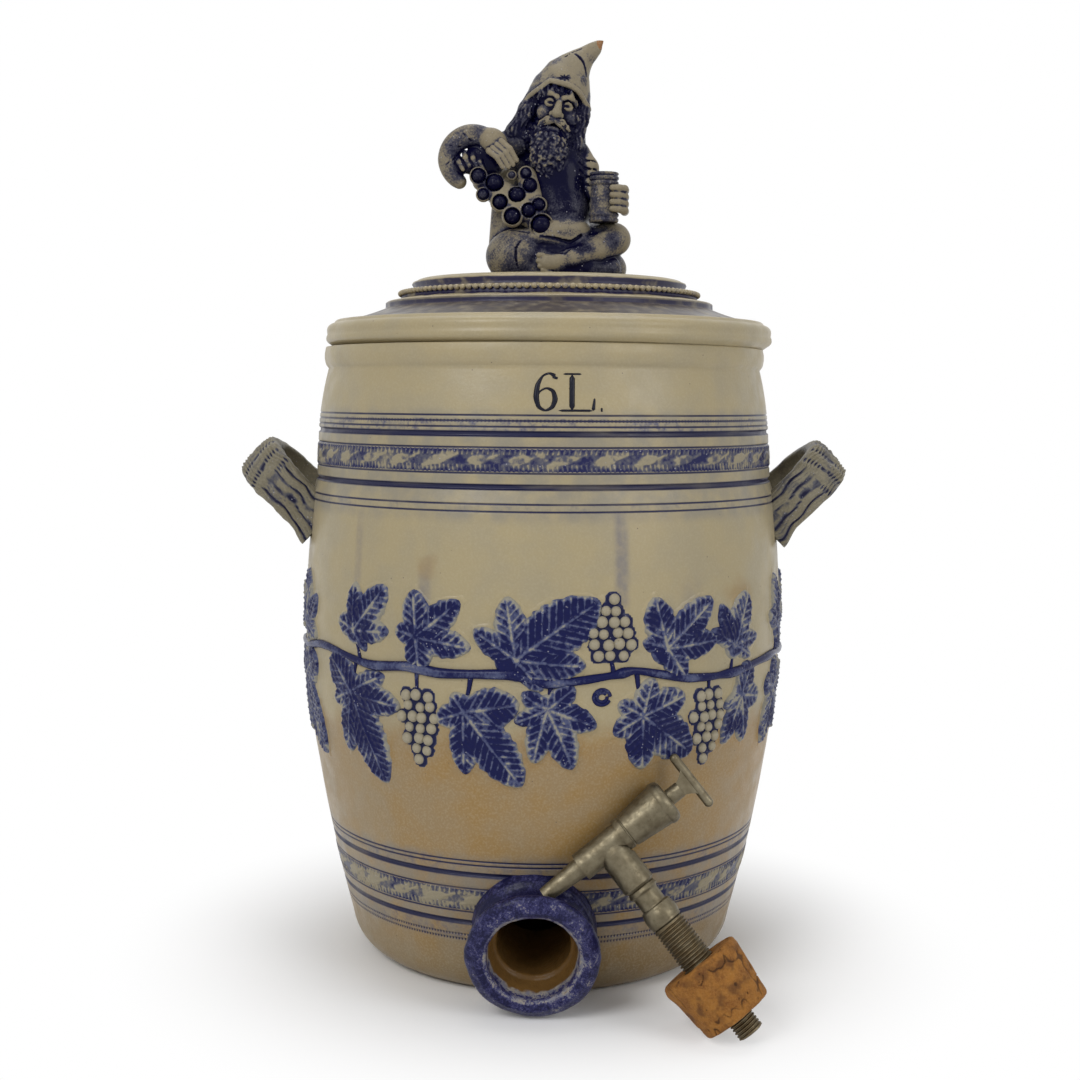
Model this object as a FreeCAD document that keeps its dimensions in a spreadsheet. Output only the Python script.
"""Stoneware drinks crock: a barrel jar with a loose lid, loop handles and a bung collar, an
applied vine frieze, and the metal tap with its cork, taken out and leaning on the jar's front.

Millimetres. The origin is the centre of the flat base, +Z is up, and the front, with the bung
collar, faces -Y. +X is to the right of someone who stands before the jar.
"""

import FreeCAD, Part
import math
import os
import re

import Sketcher
from FreeCAD import Placement, Rotation, Vector

SIZES = {
    # Jar: the belly's radius, how far in from it the wall stands at each height, the rises between
    # those heights, and how far the wall bows out between two of them.
    "belly_radius": 106.3,
    "base_inset": 33.3,
    "foot_inset": 20.1,
    "lower_inset": 5.4,
    "shoulder_inset": 3.4,
    "band_low_inset": 4.8,
    "band_top_inset": 6.0,
    "neck_inset": 10.2,
    "rim_inset": 9.1,
    "foot_rise": 16.6,
    "lower_rise": 70.1,
    "belly_rise": 68.3,
    "shoulder_rise": 51.6,
    "step_rise": 5.0,
    "band_rise": 23.4,
    "neck_rise": 25.0,
    "throat_rise": 1.5,
    "rim_rise": 7.8,
    "foot_bow": 3.1,
    "lower_bow": 0.9,
    "belly_bow": 1.9,
    "shoulder_bow": 0.6,
    "neck_bow": 0.5,
    "rim_bow": 0.7,
    "wall": 8.5,
    "floor_thickness": 9.5,
    "rim_land": 9.2,
    # Turned lines round the jar, two below the shoulder's band and above it, two near the foot.
    "line_width": 1.8,
    "line_depth": 0.5,
    "line_lift": 1.3,
    "low_line_height": 33.4,
    "low_band_width": 21.6,
    # Luting: what is stuck on the wall stands this far off it, so that no two faces coincide.
    "luting_gap": 0.1,
    # Vine frieze: the stem's line lies this far below the belly's height.
    "frieze_drop": 16.0,
    "relief_height": 2.2,
    "leaf_length": 26.0,
    "stem_width": 2.6,
    "berry_radius": 2.4,
    # Loop handles: straps bent to a horseshoe in a plane that rises outwards.
    "handle_height": 198.3,
    "handle_tilt": 43.0,
    "handle_reach": 31.8,
    "handle_half_span": 24.0,
    "handle_root": 16.0,
    "strap_thickness": 7.5,
    "strap_width": 19.7,
    "strap_face_bow": 0.8,
    "strap_edge_bow": 2.2,
    # Bung collar: lengths are along its axis, back from the mouth.
    "collar_turn": -1.6,
    "collar_tilt": 13.5,
    "collar_reach": 23.2,
    "collar_height": 26.7,
    "collar_rim_radius": 26.0,
    "collar_rim_length": 8.5,
    "collar_lip_bow": 3.2,
    "collar_waist_radius": 21.2,
    "collar_waist_length": 4.0,
    "collar_foot_radius": 24.6,
    "collar_root": 22.0,
    "mouth_hole_radius": 18.4,
    "mouth_taper_depth": 12.0,
    "mouth_taper_radius": 16.5,
    "bung_radius": 15.0,
    # Lid: rises over the jar's rim and runs in from the widest of the roll.
    "lid_shift": 2.0,
    "lid_overhang": 0.3,
    "roll_bow": 4.0,
    "roll_rise": 10.8,
    "roll_run": 1.8,
    "slope_rise": 6.5,
    "slope_run": 23.0,
    "slope_bow": 0.7,
    "lid_band_rise": 2.9,
    "lid_band_run": 1.1,
    "bead_rise": 2.2,
    "bead_run": 2.4,
    "disc_foot_rise": 1.8,
    "disc_foot_run": 5.0,
    "disc_rise": 3.7,
    "disc_run": 4.0,
    "disc_bow": 1.0,
    "crown_rise": 2.1,
    "crown_run": 5.2,
    "lid_thickness": 8.0,
    "flange_clearance": 3.5,
    "flange_depth": 8.3,
    "flange_thickness": 6.5,
    # Finial figure, from the centre of the lid's flat top.
    "lap_half_width": 32.0,
    "lap_half_depth": 23.0,
    "lap_rise": 25.0,
    "lap_shift": 4.0,
    "torso_half_width": 19.0,
    "torso_half_depth": 15.0,
    "torso_half_height": 34.0,
    "torso_shift": 0.0,
    "torso_up": 26.0,
    "head_half_width": 17.0,
    "head_half_depth": 14.5,
    "head_half_height": 21.0,
    "head_shift": 2.0,
    "head_up": 75.0,
    "beard_half_width": 11.0,
    "beard_half_depth": 7.0,
    "beard_drop": 17.0,
    "hood_radius": 14.5,
    "hood_tip_radius": 5.5,
    "hood_shift": 3.5,
    "hood_up": 85.0,
    "hood_lean": 16.5,
    "hood_rise": 14.5,
    "arm_radius": 6.2,
    "hand_radius": 6.8,
    "crook_shift": 33.8,
    "crook_up": 52.2,
    "crook_forward": 6.0,
    "crook_radius": 11.3,
    "sleeve_radius": 4.5,
    "grape_radius": 3.4,
    "grape_backing_radius": 5.0,
    "mug_radius": 6.5,
    "mug_height": 21.4,
    "mug_wall": 1.3,
    "mug_shift": 23.6,
    "mug_up": 25.3,
    "mug_forward": 13.0,
    # Tap: heights are along the barrel, from the shank's axis towards the key.
    "barrel_radius": 5.85,
    "barrel_drop": 14.1,
    "barrel_top": 6.0,
    "joint_radius": 5.4,
    "joint_top": 14.0,
    "chamber_radius": 4.2,
    "branch_radius": 6.8,
    "branch_swell": 4.0,
    "branch_length": 20.4,
    "branch_chamfer": 1.1,
    "inlet_radius": 2.6,
    "nozzle_drop": 32.2,
    "nozzle_tip_radius": 3.15,
    "nozzle_root_radius": 4.15,
    "nozzle_spigot_radius": 3.6,
    "nozzle_spigot_length": 4.5,
    "nozzle_bore_radius": 1.9,
    "bonnet_radius": 6.7,
    "bonnet_head_radius": 8.7,
    "bonnet_top": 25.6,
    "bonnet_line_up": 9.0,
    "bonnet_line_radius": 0.5,
    "stop_radius": 4.6,
    "stop_height": 1.9,
    "stop_clearance": 0.1,
    "gland_box_up": 20.8,
    "gland_box_radius": 5.2,
    "gland_skirt": 2.4,
    "gland_radius": 8.9,
    "gland_top": 30.2,
    "gland_bow": 0.6,
    "spindle_radius": 2.2,
    "spindle_low": 4.6,
    "spindle_top": 36.0,
    "running_clearance": 0.05,
    "key_gap": 0.3,
    "key_stem_radius": 3.3,
    "key_fork_up": 34.0,
    "key_bar_up": 41.7,
    "key_bar_radius": 1.9,
    "key_bar_half_length": 12.75,
    "key_web_half_thickness": 1.5,
    "key_web_half_width": 7.5,
    "key_web_bow": 1.2,
    "key_pin_radius": 0.9,
    "key_pin_up": 33.0,
    "key_pin_end": 0.2,
    "plunger_low": 4.4,
    "plunger_top": 11.0,
    "plunger_clearance": 0.1,
    "plunger_stem_radius": 3.0,
    "plunger_hole_low": 1.2,
    "plunger_flange_radius": 3.4,
    "plunger_flange_height": 1.0,
    "feather_half_width": 0.8,
    "feather_reach": 0.5,
    "washer_thickness": 1.7,
    "seat_gap": 0.1,
    "washer_screw_radius": 0.75,
    "washer_screw_length": 4.2,
    "washer_screw_head_radius": 1.4,
    "washer_screw_head_height": 0.9,
    "shank_spigot_radius": 4.6,
    "shank_spigot_length": 6.0,
    "shank_neck_radius": 5.5,
    "shank_bulge_start": 30.0,
    "shank_bulge_radius": 6.2,
    "shank_bulge_bow": 0.8,
    "shank_thread_start": 37.6,
    "shank_thread_radius": 6.8,
    "cork_start": 56.5,
    "cork_length": 25.2,
    "cork_big_radius": 17.45,
    "cork_small_radius": 14.5,
    "cork_edge": 0.8,
    "stub_radius": 5.45,
    "stub_length": 7.9,
    # How the loose tap leans: its nozzle lies on the collar's waist, its cork's end stands on the
    # table and its head leans towards the wall, with room for the key to turn.
    "lean_slope": 37.3,
    "nozzle_setback": 10.4,
    "nozzle_shift": 4.4,
    "rest_gap": 0.3,
}

# Vine leaves: the angle round the jar from the front, the rise over the stem's line, and the
# direction and length of each lobe, the length as a share of leaf_length.
LEAVES = (
    (-46, 13.4, ((160, 0.46), (93, 0.77), (47, 1.02), (1, 0.75), (-46, 0.42))),
    (-28, 13.7, ((164, 0.4), (93, 0.73), (37, 0.92), (-8, 0.91), (-83, 0.54))),
    (-5.4, 6.6, ((147, 0.79), (102, 0.97), (39, 1.52), (-8, 1.03), (-53, 0.62))),
    (27.5, 9.8, ((160, 0.37), (105, 0.83), (39, 1.15), (2, 1.0), (-55, 0.62))),
    (47.5, 8.0, ((151, 0.62), (118, 0.76), (64, 0.91), (10, 0.68), (-26, 0.53))),
    (-47.4, -12.5, ((132, 0.79), (200, 0.54), (258, 1.04), (297, 1.55), (-8, 1.06), (27, 0.83))),
    (-16.8, -15.0, ((126, 0.25), (202, 0.38), (267, 1.0), (307, 1.45), (9, 0.86))),
    (1.1, -13.0, ((206, 0.38), (254, 0.88), (295, 1.03), (-19, 0.81), (39, 0.44))),
    (22.1, -16.8, ((79, 0.62), (209, 0.47), (270, 0.86), (322, 1.15), (21, 0.8))),
    (50.7, -13.3, ((201, 0.36), (247, 0.87), (285, 0.85), (-13, 0.62), (64, 0.58))),
    (-71, 11.0, ((150, 0.58), (100, 0.92), (50, 0.69), (-20, 0.54), (-70, 0.38))),
    (-74, -12.0, ((160, 0.46), (100, 0.54), (30, 0.77), (-60, 1.46), (-100, 1.0))),
    (72, 11.0, ((150, 0.54), (100, 0.92), (60, 0.77), (20, 0.62), (-60, 0.46))),
    (70, -15.0, ((170, 0.46), (80, 0.54), (20, 0.77), (-60, 0.92), (-110, 1.0))),
)
# The stem's run: the angle round the jar and the rise over its own line.
STEM = (
    (-56, 3.8), (-40, -0.3), (-30, 1.6), (-22, -0.3), (-6.4, 0.9), (0.4, -2.9),
    (7.4, -1.8), (15.3, 0.2), (20.2, 1.9), (32.5, -3.0), (40, -3.8), (48, -3.6),
)
# Grapes: the angle and rise of a bunch's top row, its rows' counts of berries, and whether it
# hangs or stands.
GRAPES = (
    (14.5, 8.0, (3, 4, 4, 3, 2, 1), 1),
    (-28, -10.0, (3, 3, 4, 3, 3, 2, 1), -1),
    (39.5, -11.0, (3, 3, 4, 3, 3, 2, 1), -1),
)

DOC = FreeCAD.newDocument("drinks_crock")
SHEET = DOC.addObject("Spreadsheet::Sheet", "Sizes")
for row, (alias, value) in enumerate(SIZES.items(), start=1):
    SHEET.set(f"A{row}", alias)
    SHEET.set(f"B{row}", str(value))
    SHEET.setAlias(f"B{row}", alias)
DOC.recompute()

X_AXIS, Y_AXIS, Z_AXIS = Vector(1, 0, 0), Vector(0, 1, 0), Vector(0, 0, 1)
ORIGIN = Vector(0, 0, 0)


def number(expression):
    """The value of an expression of the sheet's aliases."""
    value = SHEET.evalExpression(expression)
    return float(getattr(value, "Value", value))


def bound(expression):
    """The same expression, as another object of the document writes it."""
    return re.sub(
        r"[a-z][a-z_]*",
        lambda word: "Sizes." + word.group() if word.group() in SIZES else word.group(),
        expression,
    )


# ---------------------------------------------------------------------------------- sketches


def bow_radius(start, end, bow):
    """The radius of an arc over start-end, each (across, up), that rises by bow."""
    run = f"({end[0]} - ({start[0]}))"
    rise = f"({end[1]} - ({start[1]}))"
    return f"({run}^2 + {rise}^2) / (8 * {bow}) + {bow} / 2"


def add_edge(sketch, start, end, bow, outward):
    """Adds a line, or an arc that bows to the right of start-end if outward, else to its left.
    Returns the edge's index and which of its ends is the start and which the end."""
    here = Vector(number(start[0]), number(start[1]), 0)
    there = Vector(number(end[0]), number(end[1]), 0)
    if bow is None:
        return sketch.addGeometry(Part.LineSegment(here, there), False), 1, 2
    radius = number(bow_radius(start, end, bow))
    along = (there - here).normalize()
    side = Vector(along.y, -along.x, 0) * (1 if outward else -1)
    centre = (here + there) * 0.5 + side * (number(bow) - radius)
    angles = [math.atan2(p.y - centre.y, p.x - centre.x) for p in (here, there)]
    if not outward:
        angles.reverse()
    arc = Part.ArcOfCircle(Part.Circle(centre, Z_AXIS, radius), *angles)
    edge = sketch.addGeometry(arc, False)
    size = sketch.addConstraint(Sketcher.Constraint("Radius", edge, radius))
    sketch.setExpression(f"Constraints[{size}]", bound(bow_radius(start, end, bow)))
    return (edge, 1, 2) if outward else (edge, 2, 1)


def pin_point(sketch, edge, end, point):
    """Holds one end of an edge at a point, by its distances from the sketch's origin."""
    for kind, axis, expression in (("DistanceX", -2, point[0]), ("DistanceY", -1, point[1])):
        if expression == "0":
            sketch.addConstraint(Sketcher.Constraint("PointOnObject", edge, end, axis))
            continue
        size = Sketcher.Constraint(kind, -1, 1, edge, end, number(expression))
        index = sketch.addConstraint(size)
        sketch.setExpression(f"Constraints[{index}]", bound(expression))


def sketch_in(body, name, plane, points, closed=True):
    """A sketch through points, counter-clockwise where closed: each point is (across, up), with
    the bow of the edge that follows, and "in" after the bow where that edge bows inwards."""
    sketch = body.newObject("Sketcher::SketchObject", name)
    support = next(f for f in body.Origin.OriginFeatures if f.Role == plane)
    sketch.AttachmentSupport = (support, "")
    sketch.MapMode = "FlatFace"
    edges = []
    count = len(points) if closed else len(points) - 1
    for index in range(count):
        start = points[index]
        end = points[(index + 1) % len(points)]
        bow = start[2] if len(start) > 2 else None
        edges.append(add_edge(sketch, start, end, bow, "in" not in start[3:]))
    for index, (edge, first, last) in enumerate(edges):
        pin_point(sketch, edge, first, points[index])
        if index + 1 < count or closed:
            following = edges[(index + 1) % count]
            join = Sketcher.Constraint("Coincident", edge, last, following[0], following[1])
            sketch.addConstraint(join)
        else:
            pin_point(sketch, edge, last, points[-1])
    return sketch


def new_body(label):
    body = DOC.addObject("PartDesign::Body", label)
    body.Label = label
    return body


def turned(label, points):
    """A body turned about Z from points of (radius, height)."""
    body = new_body(label)
    sketch = sketch_in(body, label + "_outline", "XZ_Plane", points)
    spin = body.newObject("PartDesign::Revolution", label + "_turned")
    spin.Profile = sketch
    spin.ReferenceAxis = (sketch, ["V_Axis"])
    spin.Angle = 360
    return body


def stand(piece, at):
    """Sets where a piece stands, each coordinate an expression."""
    for letter, expression in zip("xyz", at):
        if expression != "0":
            piece.setExpression(f"Placement.Base.{letter}", bound(expression))
    return piece


def shaft(name, radius, low, high, along="Z"):
    """A cylinder on the Z, X or Y axis, from low to high."""
    rod = DOC.addObject("Part::Cylinder", name)
    rod.setExpression("Radius", bound(radius))
    rod.setExpression("Height", bound(f"({high}) - ({low})"))
    if along == "X":
        rod.Placement.Rotation = Rotation(Y_AXIS, 90)
    if along == "Y":
        rod.Placement.Rotation = Rotation(X_AXIS, -90)
    rod.setExpression(f"Placement.Base.{along.lower()}", bound(low))
    return rod


def block(name, lows, highs):
    """A box between two corners, each three expressions."""
    box = DOC.addObject("Part::Box", name)
    for side, low, high in zip(("Length", "Width", "Height"), lows, highs):
        box.setExpression(side, bound(f"({high}) - ({low})"))
    return stand(box, lows)


def ball(name, radius, centre):
    round_piece = DOC.addObject("Part::Sphere", name)
    round_piece.setExpression("Radius", bound(radius))
    return stand(round_piece, centre)


def egg(name, halves, centre):
    """An ellipsoid with its half width, depth and height."""
    piece = DOC.addObject("Part::Ellipsoid", name)
    for radius, half in zip(("Radius2", "Radius3", "Radius1"), halves):
        piece.setExpression(radius, bound(half))
    return stand(piece, centre)


def limb(name, start, end, radius, end_radius=None):
    """A cone or cylinder from one point to another, each three expressions."""
    here = Vector(*(number(part) for part in start))
    there = Vector(*(number(part) for part in end))
    piece = DOC.addObject("Part::Cone", name)
    piece.setExpression("Radius1", bound(radius))
    piece.setExpression("Radius2", bound(end_radius or f"{radius} - 0.01"))
    piece.Height = (there - here).Length
    piece.Placement.Rotation = Rotation(Z_AXIS, there - here)
    return stand(piece, start)


def joined(label, *pieces):
    whole = DOC.addObject("Part::MultiFuse", label)
    whole.Label = label
    whole.Shapes = list(pieces)
    return whole


def less(label, base, *tools):
    """The base with each tool cut away."""
    for index, tool in enumerate(tools, start=1):
        name = label if index == len(tools) else f"{label}_cut_{index}"
        rest = DOC.addObject("Part::Cut", name)
        rest.Base = base
        rest.Tool = tool
        base = rest
    base.Label = label
    return base


def outer_radius(outline, height):
    """How far from its axis a turned outline reaches at a height."""
    points = [(number(p[0]), number(p[1]), p[2] if len(p) > 2 else None) for p in outline]
    reach = 0.0
    for (r0, z0, bow), (r1, z1, _) in zip(points, points[1:]):
        if not min(z0, z1) <= height <= max(z0, z1) or z0 == z1:
            continue
        straight = r0 + (r1 - r0) * (height - z0) / (z1 - z0)
        if bow is None:
            reach = max(reach, straight)
            continue
        chord = math.hypot(r1 - r0, z1 - z0)
        rise = number(bow)
        radius = chord * chord / (8 * rise) + rise / 2
        offset = (radius - rise) / chord
        centre_r = (r0 + r1) / 2 - (z1 - z0) * offset
        centre_z = (z0 + z1) / 2 + (r1 - r0) * offset
        across = math.sqrt(max(radius * radius - (height - centre_z) ** 2, 0.0))
        reach = max(reach, centre_r + across)
    return reach


# --------------------------------------------------------------------------------------- jar

HEIGHTS = {}
climbed = ""
for level in ("foot", "lower", "belly", "shoulder", "step", "band", "neck", "throat", "rim"):
    climbed = f"{climbed} + {level}_rise" if climbed else f"{level}_rise"
    HEIGHTS[level] = climbed
JAR_HEIGHT = HEIGHTS["rim"]


def wall_outside(offset="0"):
    """The outside of the wall from the base's edge to the rim, grown by an offset."""
    levels = (
        ("base_inset", "0", "foot_bow"),
        ("foot_inset", HEIGHTS["foot"], "lower_bow"),
        ("lower_inset", HEIGHTS["lower"], "belly_bow"),
        ("0", HEIGHTS["belly"], "shoulder_bow"),
        ("shoulder_inset", HEIGHTS["shoulder"], None),
        ("band_low_inset", HEIGHTS["step"], None),
        ("band_top_inset", HEIGHTS["band"], "neck_bow"),
        ("neck_inset", HEIGHTS["neck"], None),
        ("rim_inset", HEIGHTS["throat"], "rim_bow"),
        ("rim_inset", JAR_HEIGHT, None),
    )
    return [(f"belly_radius - {inset} + {offset}", up, bow) for inset, up, bow in levels]


def wall_inside():
    """The inside of the wall from the mouth down to the floor."""
    levels = (
        ("rim_inset - rim_land", JAR_HEIGHT, None),
        ("rim_inset - rim_land", HEIGHTS["neck"], None),
        ("band_top_inset - wall", HEIGHTS["band"], None),
        ("shoulder_inset - wall", HEIGHTS["shoulder"], "shoulder_bow"),
        ("0 - wall", HEIGHTS["belly"], "belly_bow"),
        ("lower_inset - wall", HEIGHTS["lower"], "lower_bow"),
        ("foot_inset - wall", HEIGHTS["foot"] + " + floor_thickness", "foot_bow"),
        ("base_inset - wall", "floor_thickness", None),
    )
    return [(f"belly_radius - {inset}", up, bow) for inset, up, bow in levels]


WALL = wall_outside()
# The turned lines are left out of the envelope, which only shapes what is stuck on the wall.
envelope = turned(
    "wall_envelope", [("0", "0"), *wall_outside("luting_gap"), ("0", JAR_HEIGHT)]
)
relief_envelope = turned(
    "relief_envelope", [("0", "0"), *wall_outside("relief_height"), ("0", JAR_HEIGHT)]
)
thrown_jar = turned("thrown_jar", [("0", "0"), *WALL, *wall_inside(), ("0", "floor_thickness")])


def turned_line(name, height):
    """A ring that cuts a line round the wall, wider than it is deep."""
    reach = f"{outer_radius(WALL, number(height)):.4f}"
    return turned(
        name,
        [
            (f"{reach} - line_depth", height),
            (f"{reach} + line_depth", f"{height} - line_width"),
            (f"{reach} + line_depth", f"{height} + line_width"),
        ],
    )


jar_lines = [
    turned_line("foot_line", "low_line_height"),
    turned_line("low_band_line", "low_line_height + low_band_width"),
    turned_line("shoulder_line", HEIGHTS["step"] + " + line_lift"),
    turned_line("neck_line", HEIGHTS["band"] + " - line_lift"),
]

# ------------------------------------------------------------------------------- bung collar

tilt = math.radians(number("collar_tilt"))
around = Rotation(Z_AXIS, number("collar_turn"))
COLLAR_AXIS = around.multVec(Vector(0, -math.cos(tilt), -math.sin(tilt)))
COLLAR_UP = around.multVec(Vector(0, -math.sin(tilt), math.cos(tilt)))
COLLAR_SIDE = around.multVec(X_AXIS)
collar_stand = outer_radius(WALL, number("collar_height")) + number("collar_reach")
COLLAR_MOUTH = around.multVec(Vector(0, -collar_stand, number("collar_height")))
COLLAR_PLACE = Placement(COLLAR_MOUTH, around * Rotation(X_AXIS, 90 + number("collar_tilt")))

COLLAR_OUTSIDE = [
    ("collar_foot_radius", "-(collar_root + collar_reach)"),
    ("collar_foot_radius", "-(collar_rim_length + 2.5 * collar_waist_length)"),
    ("collar_waist_radius", "-(collar_rim_length + collar_waist_length)"),
    ("collar_waist_radius", "-collar_rim_length"),
    ("collar_rim_radius", "-0.6 * collar_rim_length", "collar_lip_bow"),
    ("mouth_hole_radius", "-0.2 * collar_rim_length"),
]
thrown_collar = turned(
    "thrown_collar",
    [
        ("bung_radius", "-(collar_root + collar_reach)"),
        *COLLAR_OUTSIDE,
        ("mouth_taper_radius", "-mouth_taper_depth"),
        ("bung_radius", "-mouth_taper_depth"),
    ],
)
thrown_collar.Placement = COLLAR_PLACE
bung_collar = less("bung_collar", thrown_collar, envelope)

bung_hole = turned(
    "bung_hole",
    [
        ("0", "-(2 * collar_root + collar_reach)"),
        ("bung_radius", "-(2 * collar_root + collar_reach)"),
        ("bung_radius", "0"),
        ("0", "0"),
    ],
)
bung_hole.Placement = COLLAR_PLACE
jar_body = less("jar_body", thrown_jar, *jar_lines, bung_hole)

# ----------------------------------------------------------------------------------- handles


def loop_handle(label, turn):
    """A strap bent to a horseshoe, whose feet are cut to the wall."""
    body = new_body(label + "_strap")
    bend = "handle_root + handle_reach - handle_half_span"
    quarter_bow = "(1 - sqrt(0.5)) * handle_half_span"
    path = sketch_in(
        body,
        label + "_path",
        "XY_Plane",
        [
            ("0", "-handle_half_span"),
            (bend, "-handle_half_span", quarter_bow),
            ("handle_root + handle_reach", "0", quarter_bow),
            (bend, "handle_half_span"),
            ("0", "handle_half_span"),
        ],
        closed=False,
    )
    low = "-(handle_half_span + strap_thickness / 2)"
    high = "-(handle_half_span - strap_thickness / 2)"
    section = sketch_in(
        body,
        label + "_section",
        "YZ_Plane",
        [
            (low, "-strap_width / 2", "strap_edge_bow"),
            (high, "-strap_width / 2", "strap_face_bow"),
            (high, "strap_width / 2", "strap_edge_bow"),
            (low, "strap_width / 2", "strap_face_bow"),
        ],
    )
    strap = body.newObject("PartDesign::AdditivePipe", label + "_bent")
    strap.Profile = section
    strap.Spine = path
    lift = math.radians(number("handle_tilt"))
    foot = Vector(outer_radius(WALL, number("handle_height")), 0, number("handle_height"))
    start = foot - Vector(math.cos(lift), 0, math.sin(lift)) * number("handle_root")
    side = Rotation(Z_AXIS, turn)
    body.Placement = Placement(
        side.multVec(start), side * Rotation(Y_AXIS, -number("handle_tilt"))
    )
    return less(label, body, envelope)


right_handle = loop_handle("right_handle", 0)
left_handle = loop_handle("left_handle", 180)

# --------------------------------------------------------------------------------------- lid

ROLL_RADIUS = "belly_radius - rim_inset + lid_overhang"
LID_STEPS = ("roll", "slope", "lid_band", "bead", "disc_foot", "disc", "crown")
LID_BOWS = {"roll": ("slope_bow", "in"), "disc_foot": ("disc_bow",)}
MOUTH_RADIUS = "belly_radius - rim_inset - rim_land"


def lid_outline():
    """The lid's outline from the middle of its underside, out and over to its top's middle."""
    top = " + ".join(f"{step}_rise" for step in LID_STEPS)
    inner = f"{ROLL_RADIUS} - roll_run - slope_run - lid_band_run - bead_run - lid_thickness"
    outline = [
        ("0", f"{top} - lid_thickness"),
        (f"{inner} - disc_foot_run", f"{top} - lid_thickness"),
        (f"{MOUTH_RADIUS} - flange_clearance - flange_thickness", "lid_thickness"),
        (f"{MOUTH_RADIUS} - flange_clearance - flange_thickness", "-flange_depth"),
        (f"{MOUTH_RADIUS} - flange_clearance", "-flange_depth"),
        (f"{MOUTH_RADIUS} - flange_clearance", "0"),
        (ROLL_RADIUS, "0", "roll_bow"),
    ]
    across, up = ROLL_RADIUS, "0"
    for step in LID_STEPS:
        across = f"{across} - {step}_run"
        up = f"{step}_rise" if up == "0" else f"{up} + {step}_rise"
        outline.append((across, up, *LID_BOWS.get(step, ())))
    return [*outline, ("0", top)], top


lid_points, LID_HEIGHT = lid_outline()
lid = turned("lid", lid_points)
stand(lid, ("lid_shift", "0", JAR_HEIGHT))

# ---------------------------------------------------------------------------- finial figure

sleeve = DOC.addObject("Part::Torus", "sleeve")
sleeve.setExpression("Radius1", bound("crook_radius"))
sleeve.setExpression("Radius2", bound("sleeve_radius"))
sleeve.Angle3 = 195
sleeve.Placement.Rotation = Rotation(X_AXIS, 90) * Rotation(Z_AXIS, 45)
stand(sleeve, ("-crook_shift", "-crook_forward", "crook_up"))
wrist = (
    "-crook_shift + sqrt(0.5) * crook_radius",
    "-crook_forward",
    "crook_up + sqrt(0.5) * crook_radius",
)
fingers = ("-crook_shift + 1.5 * crook_radius", "-crook_forward - 3", "crook_up - 3")
arm_solids = (
    sleeve,
    limb("hand_back", wrist, fingers, "sleeve_radius", "hand_radius - 1.5"),
    ball("wrist", "sleeve_radius", wrist),
    ball("finger_ends", "hand_radius - 1.5", fingers),
)
arm = joined("finial_arm", *arm_solids)

mug_low = ("mug_shift", "-mug_forward", "mug_up")
mug_wall = stand(shaft("mug_outside", "mug_radius", "0", "mug_height"), mug_low)
mug_hollow = stand(
    shaft("mug_hollow", "mug_radius - mug_wall", "0", "mug_height"),
    (mug_low[0], mug_low[1], "mug_up + 2 * mug_wall"),
)
mug = less("finial_mug", mug_wall, mug_hollow)

# The bunch: each grape's place across and up the lap, and its size, as shares of the usual one.
BUNCH = (
    (-31.9, 45.3, 1.0), (-24.5, 42.0, 1.1), (-29.7, 36.4, 0.8), (-16.4, 45.3, 0.6),
    (-10.2, 46.7, 0.8), (-8.3, 40.8, 1.0), (-14.2, 36.1, 1.1), (-22.0, 33.1, 1.0),
    (-4.3, 32.0, 0.9), (-8.7, 29.4, 1.0), (-16.4, 26.1, 1.15), (-3.6, 22.4, 1.3),
)
bunch_start = ("-crook_shift + 4", "-crook_forward - 3", "crook_up - 8")
bunch_end = ("-4.5", "-0.8 * lap_half_depth", "lap_rise + 2")
grape_solids = [
    ball(
        f"grape_{index}",
        f"{share} * grape_radius",
        (
            f"{across}",
            f"-crook_forward - 6 - {(across + 32.5) / 28} * (0.8 * lap_half_depth - 10)",
            f"{up}",
        ),
    )
    for index, (across, up, share) in enumerate(BUNCH, start=1)
]
bunch_side = ("-12.5", "-0.75 * lap_half_depth", "crook_up - 7")
backing_end = "grape_backing_radius + 1"
grape_solids += [
    limb("long_backing", bunch_start, bunch_end, "grape_backing_radius", backing_end),
    limb("side_backing", bunch_side, bunch_end, "grape_backing_radius", backing_end),
]
grapes_whole = joined("grapes_whole", *grape_solids)
arm_room = joined("arm_room", *arm_solids)
grapes = less("finial_grapes", grapes_whole, arm_room)

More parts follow.
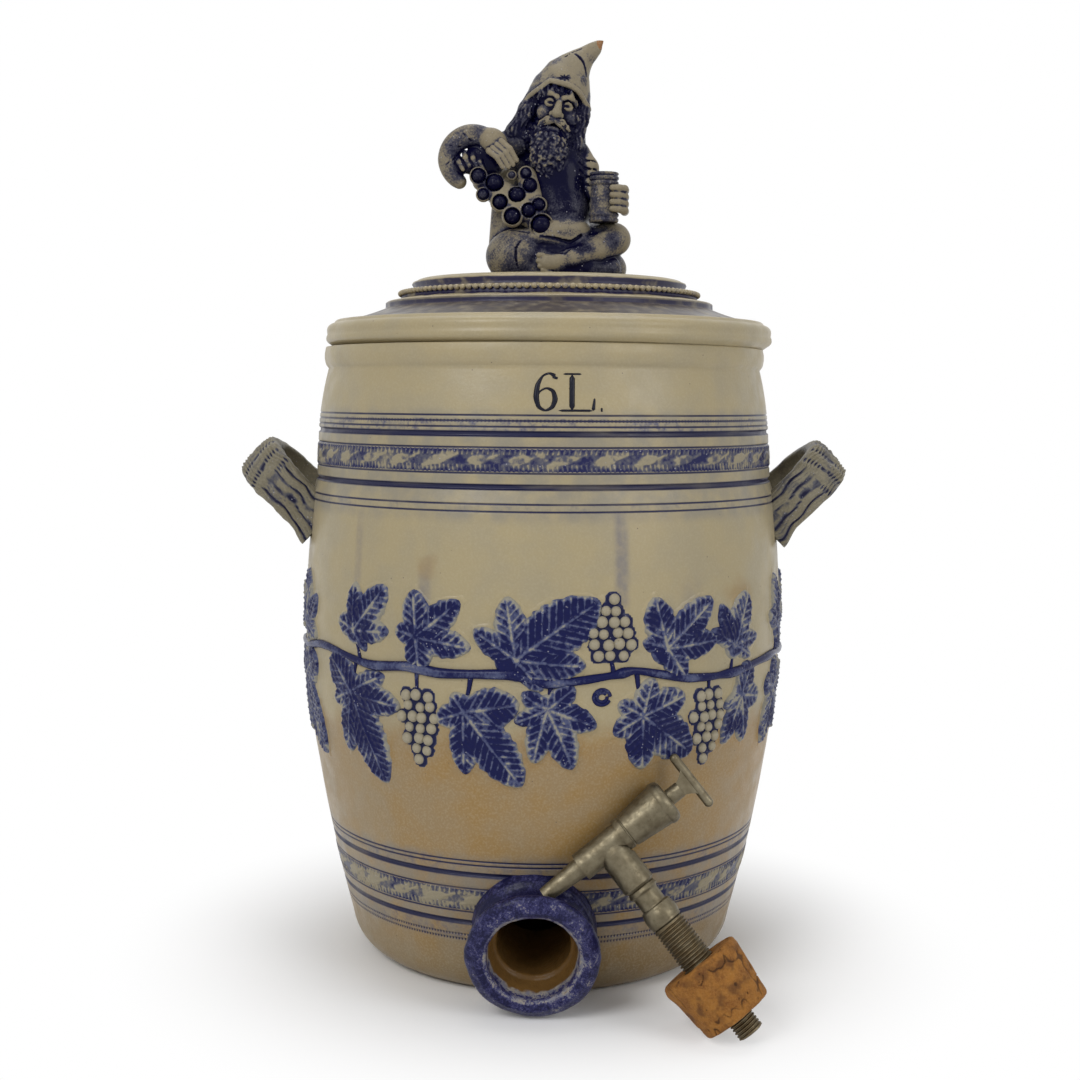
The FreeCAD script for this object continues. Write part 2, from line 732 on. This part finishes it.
below_lap = block(
    "below_lap",
    ("lap_shift - 2 * lap_half_width", "-2 * lap_half_depth", "-2 * lap_rise"),
    ("lap_shift + 2 * lap_half_width", "2 * lap_half_depth", "0"),
)
hood_start = ("hood_shift", "0", "hood_up")
hood_end = ("hood_shift + hood_lean", "0", "hood_up + hood_rise")
shoulder_up = "torso_up + 0.6 * torso_half_height"
left_shoulder = ("torso_shift - 0.6 * torso_half_width", "-3", shoulder_up)
right_shoulder = ("torso_shift + 0.6 * torso_half_width", "-3", shoulder_up)
elbow = ("-crook_shift + 0.3 * crook_radius", "-crook_forward + 4", "crook_up + crook_radius")
right_hand = ("mug_shift - mug_radius", "-mug_forward", "mug_up + 0.45 * mug_height")
figure_solids = joined(
    "figure_solids",
    egg("lap", ("lap_half_width", "lap_half_depth", "lap_rise"), ("lap_shift", "0", "0")),
    egg(
        "torso",
        ("torso_half_width", "torso_half_depth", "torso_half_height"),
        ("torso_shift", "0", "torso_up"),
    ),
    egg(
        "head",
        ("head_half_width", "head_half_depth", "head_half_height"),
        ("head_shift", "0", "head_up"),
    ),
    egg(
        "beard",
        ("beard_half_width", "beard_half_depth", "beard_drop"),
        ("head_shift", "-0.7 * head_half_depth", "head_up - beard_drop"),
    ),
    limb("hood", hood_start, hood_end, "hood_radius", "hood_tip_radius"),
    ball("hood_tip", "hood_tip_radius", hood_end),
    limb("upper_arm", left_shoulder, elbow, "arm_radius", "sleeve_radius"),
    limb("right_arm", right_shoulder, right_hand, "arm_radius"),
    ball("right_hand", "hand_radius", right_hand),
)
figure = less(
    "finial_figure",
    figure_solids,
    below_lap,
    arm_room,
    mug_wall,
    joined("grapes_room", *grape_solids),
)
DOC.recompute()

LID_TOP = Placement(
    Vector(number("lid_shift"), 0, number(f"{JAR_HEIGHT} + {LID_HEIGHT}")), Rotation()
)

# -------------------------------------------------------------------------------- vine frieze

STEM_HEIGHT = number(f"{HEIGHTS['belly']} - frieze_drop")


def wall_point(angle, rise, share=1.0):
    """A point on the wall, or at a share of its radius, by angle from the front and rise."""
    height = STEM_HEIGHT + rise
    reach = outer_radius(WALL, height) * share
    return Vector(
        reach * math.sin(math.radians(angle)), -reach * math.cos(math.radians(angle)), height
    )


def wall_prism(corners, angle):
    """A prism that runs out through the wall at an angle, with its corners seen from outside."""
    out = Vector(math.sin(math.radians(angle)), -math.cos(math.radians(angle)), 0)
    inside = 0.7 * number("belly_radius")
    flat = [p + out * (inside - p.dot(out)) for p in (*corners, corners[0])]
    return Part.Face(Part.makePolygon(flat)).extrude(out * number("belly_radius"))


def leaf_prism(angle, rise, lobes):
    """A lobed leaf: each lobe comes to a tip, and a notch lies between two lobes."""
    hub = wall_point(angle, rise)
    along = Vector(math.cos(math.radians(angle)), math.sin(math.radians(angle)), 0)
    size = number("leaf_length")
    lobes = sorted((direction % 360, length) for direction, length in lobes)
    corners = []
    for index, (direction, length) in enumerate(lobes):
        following, next_length = lobes[(index + 1) % len(lobes)]
        opening = (following - direction) % 360
        spread = min(13, 0.24 * opening)
        corners.append((direction - spread, 0.74 * length))
        corners.append((direction, length))
        corners.append((direction + spread, 0.74 * length))
        corners.append((direction + opening / 2, 0.42 * min(length, next_length)))
    points = []
    for direction, length in corners:
        turn = math.radians(direction)
        step = along * math.cos(turn) + Z_AXIS * math.sin(turn)
        points.append(hub + step * length * size)
    return wall_prism(points, angle)


def stem_prism(start, end):
    """One straight run of the stem."""
    here, there = wall_point(*start), wall_point(*end)
    along = (there - here).normalize()
    middle = (start[0] + end[0]) / 2
    out = Vector(math.sin(math.radians(middle)), -math.cos(math.radians(middle)), 0)
    side = along.cross(out).normalize() * (number("stem_width") / 2)
    cap = along * (number("stem_width") / 3)
    corners = [here - cap - side, there + cap - side, there + cap + side, here - cap + side]
    return wall_prism(corners, middle)


def bunch_rows(rise, rows, way):
    """For each row of a bunch its rise, the place of its first berry and its count of berries."""
    pitch = number("2 * berry_radius + luting_gap")
    for row, count in enumerate(rows):
        yield rise + way * row * pitch * 0.9, (row % 2 / 4 - (count - 1) / 2) * pitch, count


def bunch(angle, rise, rows, way):
    """The berries of a bunch, row by row, downwards where way is -1 and upwards where it is 1."""
    pitch = number("2 * berry_radius + luting_gap")
    berries = []
    for up, first, count in bunch_rows(rise, rows, way):
        for column in range(count):
            turn = math.degrees((first + column * pitch) / number("belly_radius"))
            middle = wall_point(angle + turn, up)
            along = wall_point(angle + turn, up + 1) - wall_point(angle + turn, up - 1)
            out = along.cross(Vector(middle.y, -middle.x, 0)).normalize()
            seat = middle + out * number("luting_gap")
            berries.append(Part.makeSphere(number("berry_radius"), seat, out, 0, 90))
    return berries


def bunch_room(angle, rise, rows, way):
    """A prism round a bunch, which the leaves keep clear of."""
    pitch = number("2 * berry_radius + luting_gap")
    margin = number("0.6 * berry_radius")
    along = Vector(math.cos(math.radians(angle)), math.sin(math.radians(angle)), 0)
    left, right = [], []
    for up, first, count in bunch_rows(rise, rows, way):
        middle = wall_point(angle, up)
        left.append(middle + along * (first - pitch / 2 - margin))
        right.append(middle + along * (first + (count - 0.5) * pitch + margin))
    cap = Z_AXIS * (way * (pitch / 2 + margin))
    corners = [left[0] - cap, *left, left[-1] + cap, right[-1] + cap, *right[::-1], right[0] - cap]
    return wall_prism(corners, angle)


def both_sides(shapes):
    """The shapes, and the same again half a turn round the jar."""
    turned_shapes = [s.copy() for s in shapes]
    for shape in turned_shapes:
        shape.rotate(ORIGIN, Z_AXIS, 180)
    return [*shapes, *turned_shapes]


def fused(shapes):
    return shapes[0].multiFuse(shapes[1:]).removeSplitter()


def sprigs(label, shape):
    piece = DOC.addObject("Part::Feature", label)
    piece.Label = label
    piece.Shape = shape
    return piece


relief_shell = relief_envelope.Shape.cut(envelope.Shape)
stem_runs = [stem_prism(start, end) for start, end in zip(STEM, STEM[1:])]
stem_prisms = fused(both_sides(stem_runs))
stem_shape = stem_prisms.common(relief_shell)
leaf_prisms = fused(both_sides([leaf_prism(*leaf) for leaf in LEAVES]))
room = both_sides([bunch_room(*entry) for entry in GRAPES])
leaf_shape = leaf_prisms.cut([*room, stem_prisms]).common(relief_shell)
berries = [berry for entry in GRAPES for berry in bunch(*entry)]
vine_stem = sprigs("vine_stem", stem_shape)
vine_leaves = sprigs("vine_leaves", leaf_shape)
grape_clusters = sprigs("grape_clusters", Part.makeCompound(both_sides(berries)))

# --------------------------------------------------------------------------------------- tap

nozzle_outline = [
    ("nozzle_bore_radius", "-nozzle_drop"),
    ("nozzle_tip_radius", "-nozzle_drop"),
    ("nozzle_root_radius", "-barrel_drop"),
    ("nozzle_spigot_radius", "-barrel_drop"),
    ("nozzle_spigot_radius", "nozzle_spigot_length - barrel_drop"),
    ("nozzle_bore_radius", "nozzle_spigot_length - barrel_drop"),
]
tap_nozzle = turned("tap_nozzle", nozzle_outline)

branch = turned(
    "branch",
    [
        ("0", "0"),
        ("0.7 * branch_radius", "0", "0.1 * branch_swell"),
        ("branch_radius", "branch_swell"),
        ("branch_radius", "branch_length - branch_chamfer"),
        ("branch_radius - branch_chamfer", "branch_length"),
        ("0", "branch_length"),
    ],
)
branch.Placement.Rotation = Rotation(Y_AXIS, 90)
bonnet_room = shaft(
    "bonnet_room", "(bonnet_radius + bonnet_head_radius) / 2", "barrel_top", "bonnet_top"
)
barrel = joined(
    "barrel",
    shaft("barrel_tube", "barrel_radius", "-barrel_drop", "barrel_top"),
    shaft("barrel_joint", "joint_radius", "barrel_top - 1", "joint_top"),
    less("branch_below_bonnet", branch, bonnet_room),
)
keyway = block(
    "keyway",
    (
        "-(chamber_radius + feather_reach + 2 * stop_clearance)",
        "-feather_half_width - stop_clearance",
        "plunger_low - stop_clearance",
    ),
    ("0", "feather_half_width + stop_clearance", "joint_top"),
)
tap_body = less(
    "tap_body",
    barrel,
    shaft("chamber", "chamber_radius", "nozzle_spigot_length - barrel_drop", "joint_top"),
    shaft("nozzle_socket", "nozzle_spigot_radius", "-barrel_drop", "0"),
    shaft("inlet", "inlet_radius", "0", "branch_length", "X"),
    shaft(
        "shank_socket",
        "shank_spigot_radius",
        "branch_length - shank_spigot_length",
        "branch_length",
        "X",
    ),
    keyway,
)

BONNET_SLOPE = "(bonnet_head_radius - bonnet_radius) / (bonnet_top - barrel_top)"
SPINDLE_HOLE = "spindle_radius + running_clearance"
JOINT_HOLE = "joint_radius + running_clearance"
STOP_ROOF = "joint_top + stop_height + 2 * stop_clearance"
bonnet_turned = turned(
    "bonnet_turned",
    [
        (JOINT_HOLE, "barrel_top"),
        ("bonnet_radius", "barrel_top"),
        ("bonnet_head_radius", "bonnet_top"),
        ("gland_box_radius", "bonnet_top"),
        ("gland_box_radius", "gland_box_up"),
        (SPINDLE_HOLE, "gland_box_up"),
        (SPINDLE_HOLE, STOP_ROOF),
        ("stop_radius + 2 * stop_clearance", STOP_ROOF),
        ("stop_radius + 2 * stop_clearance", "joint_top"),
        (JOINT_HOLE, "joint_top"),
    ],
)
bonnet_line = DOC.addObject("Part::Torus", "bonnet_line")
bonnet_line.setExpression(
    "Radius1", bound(f"bonnet_radius + (bonnet_line_up - barrel_top) * {BONNET_SLOPE}")
)
bonnet_line.setExpression("Radius2", bound("bonnet_line_radius"))
stand(bonnet_line, ("0", "0", "bonnet_line_up"))
tap_bonnet = less("tap_bonnet", bonnet_turned, bonnet_line)

gland_nut = turned(
    "gland_nut",
    [
        (SPINDLE_HOLE, "bonnet_top - gland_skirt"),
        ("gland_box_radius", "bonnet_top - gland_skirt"),
        ("gland_box_radius", "bonnet_top"),
        ("gland_radius", "bonnet_top", "gland_bow"),
        ("0.93 * gland_radius", "gland_top - gland_bow"),
        ("0.8 * gland_radius", "gland_top"),
        (SPINDLE_HOLE, "gland_top"),
    ],
)
gland_packing = turned(
    "gland_packing",
    [
        (SPINDLE_HOLE, "gland_box_up"),
        ("gland_box_radius", "gland_box_up"),
        ("gland_box_radius", "bonnet_top - gland_skirt"),
        (SPINDLE_HOLE, "bonnet_top - gland_skirt"),
    ],
)

PIN_REACH = "key_stem_radius + key_pin_end"
key_pin = turned(
    "key_pin",
    [
        ("0", f"-({PIN_REACH})"),
        ("key_pin_radius", f"-({PIN_REACH})"),
        ("key_pin_radius", PIN_REACH),
        ("0", PIN_REACH),
    ],
)
pin_hole = shaft("pin_hole", "key_pin_radius", f"-({PIN_REACH})", PIN_REACH, "Y")
stand(pin_hole, ("0", "0", "key_pin_up"))
spindle_turned = turned(
    "spindle_turned",
    [
        ("0", "spindle_low"),
        ("spindle_radius", "spindle_low"),
        ("spindle_radius", "joint_top + stop_clearance"),
        ("stop_radius", "joint_top + stop_clearance"),
        ("stop_radius", "joint_top + stop_clearance + stop_height"),
        ("spindle_radius", "joint_top + stop_clearance + stop_height"),
        ("spindle_radius", "spindle_top"),
        ("0", "spindle_top"),
    ],
)
key_spindle = less("key_spindle", spindle_turned, pin_hole)

key_web = new_body("key_web")
web_sketch = sketch_in(
    key_web,
    "key_web_outline",
    "XZ_Plane",
    [
        ("-0.8 * key_stem_radius", "key_fork_up"),
        ("0.8 * key_stem_radius", "key_fork_up", "key_web_bow", "in"),
        ("key_web_half_width", "key_bar_up"),
        ("-key_web_half_width", "key_bar_up", "key_web_bow", "in"),
    ],
)
web_pad = key_web.newObject("PartDesign::Pad", "key_web_pad")
web_pad.Profile = web_sketch
web_pad.setExpression("Length", bound("2 * key_web_half_thickness"))
web_pad.Midplane = True
bar_reach = "key_bar_half_length - key_bar_radius"
key_solids = joined(
    "key_solids",
    shaft("key_stem", "key_stem_radius", "gland_top + key_gap", "spindle_top"),
    shaft("key_bar", "key_bar_radius", f"-({bar_reach})", bar_reach, "X"),
    ball("key_bar_left", "key_bar_radius", (f"-({bar_reach})", "0", "key_bar_up")),
    ball("key_bar_right", "key_bar_radius", (bar_reach, "0", "key_bar_up")),
    key_web,
)
stand(DOC.getObject("key_bar"), ("0", "0", "key_bar_up"))
key_handle = less(
    "key_handle",
    key_solids,
    shaft("spindle_socket", "spindle_radius", "gland_top", "spindle_top"),
    pin_hole,
)

SEAT = "nozzle_spigot_length - barrel_drop"
PLUNGER_FOOT = f"{SEAT} + seat_gap + washer_thickness"
plunger_turned = turned(
    "plunger_turned",
    [
        ("0", PLUNGER_FOOT),
        ("plunger_flange_radius", PLUNGER_FOOT),
        ("plunger_flange_radius", f"{PLUNGER_FOOT} + plunger_flange_height"),
        ("plunger_stem_radius", f"{PLUNGER_FOOT} + plunger_flange_height"),
        ("plunger_stem_radius", "plunger_low"),
        ("chamber_radius - plunger_clearance", "plunger_low"),
        ("chamber_radius - plunger_clearance", "plunger_top"),
        (SPINDLE_HOLE, "plunger_top"),
        (SPINDLE_HOLE, "plunger_hole_low"),
        ("0", "plunger_hole_low"),
    ],
)
feather = block(
    "feather",
    (
        "-(chamber_radius - plunger_clearance + feather_reach)",
        "-feather_half_width",
        "plunger_low",
    ),
    ("-(spindle_radius + 1)", "feather_half_width", "plunger_top"),
)
washer_screw = turned(
    "washer_screw",
    [
        ("0", f"{SEAT} + seat_gap - washer_screw_head_height"),
        ("washer_screw_head_radius", f"{SEAT} + seat_gap - washer_screw_head_height"),
        ("washer_screw_head_radius", f"{SEAT} + seat_gap"),
        ("washer_screw_radius", f"{SEAT} + seat_gap"),
        ("washer_screw_radius", f"{SEAT} + seat_gap + washer_screw_length"),
        ("0", f"{SEAT} + seat_gap + washer_screw_length"),
    ],
)
screw_hole = shaft(
    "screw_hole",
    "washer_screw_radius",
    f"{SEAT}",
    f"{SEAT} + seat_gap + washer_screw_length",
)
valve_plunger = less(
    "valve_plunger", joined("plunger_solids", plunger_turned, feather), screw_hole
)
valve_washer = turned(
    "valve_washer",
    [
        ("washer_screw_radius", f"{SEAT} + seat_gap"),
        ("plunger_flange_radius", f"{SEAT} + seat_gap"),
        ("plunger_flange_radius", PLUNGER_FOOT),
        ("washer_screw_radius", PLUNGER_FOOT),
    ],
)

CORK_END = "cork_start + cork_length"
SHANK_OUTSIDE = [
    ("shank_spigot_radius", "branch_length - shank_spigot_length"),
    ("shank_spigot_radius", "branch_length"),
    ("shank_neck_radius", "branch_length"),
    ("shank_neck_radius", "shank_bulge_start"),
    ("shank_bulge_radius", "shank_bulge_start", "shank_bulge_bow"),
    ("shank_bulge_radius", "shank_thread_start"),
    ("shank_thread_radius", "shank_thread_start"),
    ("shank_thread_radius", CORK_END),
    ("stub_radius", CORK_END),
    ("stub_radius", f"{CORK_END} + stub_length"),
]
tap_shank = turned(
    "tap_shank",
    [
        ("inlet_radius", "branch_length - shank_spigot_length"),
        *SHANK_OUTSIDE,
        ("inlet_radius", f"{CORK_END} + stub_length"),
    ],
)
CORK_OUTSIDE = [
    ("cork_big_radius - cork_edge", "cork_start"),
    ("cork_big_radius", "cork_start + cork_edge"),
    ("cork_small_radius", f"{CORK_END} - cork_edge"),
    ("cork_small_radius - cork_edge", CORK_END),
]
cork_bung = turned(
    "cork_bung",
    [
        ("shank_thread_radius", "cork_start"),
        *CORK_OUTSIDE,
        ("shank_thread_radius", CORK_END),
    ],
)

# ------------------------------------------------------------------------- how the tap leans

DOC.recompute()
RING = [math.radians(step) for step in range(0, 360, 10)]


def ring_points(outline):
    """Points round each corner of a turned outline."""
    return [
        Vector(number(p[0]) * math.cos(turn), number(p[0]) * math.sin(turn), number(p[1]))
        for p in outline
        for turn in RING
    ]


NOZZLE_POINTS = ring_points(
    [
        ("nozzle_tip_radius", "-nozzle_drop"),
        ("0.7 * nozzle_tip_radius + 0.3 * nozzle_root_radius", "-0.85 * nozzle_drop"),
        ("nozzle_root_radius", "-0.6 * nozzle_drop"),
    ]
)
HEAD_POINTS = ring_points(
    [
        ("barrel_radius", "-barrel_drop"),
        ("barrel_radius", "barrel_top"),
        ("bonnet_radius", "barrel_top"),
        ("bonnet_head_radius", "bonnet_top"),
        ("gland_radius", "bonnet_top"),
        ("gland_radius", "gland_top - gland_bow"),
        ("key_bar_half_length", "key_bar_up"),
        (bar_reach, "key_bar_up + key_bar_radius"),
        (bar_reach, "key_bar_up - key_bar_radius"),
    ]
)
TAIL_POINTS = ring_points([*SHANK_OUTSIDE, *CORK_OUTSIDE])
REST_GAP = number("rest_gap")
SLOPE = math.radians(number("lean_slope"))


def tap_place(up, turn, swing):
    """The tap's placement for the nozzle tip's height over the collar's axis, the barrel's turn
    towards the wall and the shank's swing towards the front."""
    level = Vector(math.cos(turn), math.sin(turn), 0)
    barrel_way = level * math.cos(SLOPE) + Z_AXIS * math.sin(SLOPE)
    down_way = level * math.sin(SLOPE) - Z_AXIS * math.cos(SLOPE)
    shank_way = down_way * math.cos(swing) - barrel_way.cross(down_way) * math.sin(swing)
    tip = COLLAR_MOUTH - COLLAR_AXIS * number("nozzle_setback")
    tip = tip + COLLAR_SIDE * number("nozzle_shift") + COLLAR_UP * up
    joint = tip + barrel_way * number("nozzle_drop")
    return Placement(joint, Rotation(shank_way, Vector(), barrel_way, "ZXY"))


def collar_room(place):
    """The nozzle's smallest distance from the collar's outside."""
    room = []
    for point in NOZZLE_POINTS:
        local = COLLAR_PLACE.inverse().multVec(place.multVec(point))
        reach = outer_radius(COLLAR_OUTSIDE, local.z)
        room.append(math.hypot(local.x, local.y) - reach)
    return min(room)


def wall_room(place):
    """The head's smallest distance from the wall, wherever the key is turned."""
    room = []
    for point in HEAD_POINTS:
        there = place.multVec(point)
        room.append(math.hypot(there.x, there.y) - outer_radius(WALL, there.z))
    return min(room)


def table_room(place):
    """The tail's smallest height over the table."""
    shank_place = place * Placement(ORIGIN, Rotation(Y_AXIS, 90))
    return min(shank_place.multVec(point).z for point in TAIL_POINTS)


def settled(low, high, room, rising):
    """The value between low and high where the room is the rest gap."""
    for _ in range(22):
        middle = (low + high) / 2
        if (room(middle) < REST_GAP) == rising:
            low = middle
        else:
            high = middle
    return (low + high) / 2


tip_up, barrel_turn, swing = number("collar_waist_radius"), 0.15, 0.35
for _ in range(3):
    tip_up = settled(
        number("0.5 * collar_waist_radius"),
        number("2 * collar_rim_radius"),
        lambda up: collar_room(tap_place(up, barrel_turn, swing)),
        True,
    )
    barrel_turn = settled(
        -0.6, 0.9, lambda turn: wall_room(tap_place(tip_up, turn, swing)), False
    )
    swing = settled(0.0, 1.5, lambda way: table_room(tap_place(tip_up, barrel_turn, way)), True)
TAP_PLACE = tap_place(tip_up, barrel_turn, swing)
SHANK_PLACE = TAP_PLACE * Placement(ORIGIN, Rotation(Y_AXIS, 90))

PIN_PLACE = TAP_PLACE * Placement(Z_AXIS * number("key_pin_up"), Rotation(X_AXIS, 90))
PLACES = (
    (LID_TOP, (figure, arm, grapes, mug)),
    (TAP_PLACE, (tap_body, tap_nozzle, tap_bonnet, gland_nut, gland_packing)),
    (TAP_PLACE, (key_spindle, key_handle, valve_plunger, valve_washer, washer_screw)),
    (PIN_PLACE, (key_pin,)),
    (SHANK_PLACE, (tap_shank, cork_bung)),
)
for place, pieces in PLACES:
    for piece in pieces:
        piece.Placement = place
DOC.recompute()

# ------------------------------------------------------------------------------------ export

NODES = [jar_body, left_handle, right_handle, bung_collar]
NODES += [vine_stem, vine_leaves, grape_clusters, lid]
NODES += [piece for _, pieces in PLACES for piece in pieces]
for item in DOC.Objects:
    if "Invalid" in item.State or "Error" in item.State:
        raise RuntimeError(f"{item.Label} didn't recompute: {item.State}")
for node in NODES:
    if node.Shape.isNull() or not node.Shape.isValid() or not node.Shape.Solids:
        raise RuntimeError(f"{node.Label} has no valid solid")
os.makedirs("parts", exist_ok=True)
for node in NODES:
    node.Shape.exportStep(f"parts/{node.Label}.step")
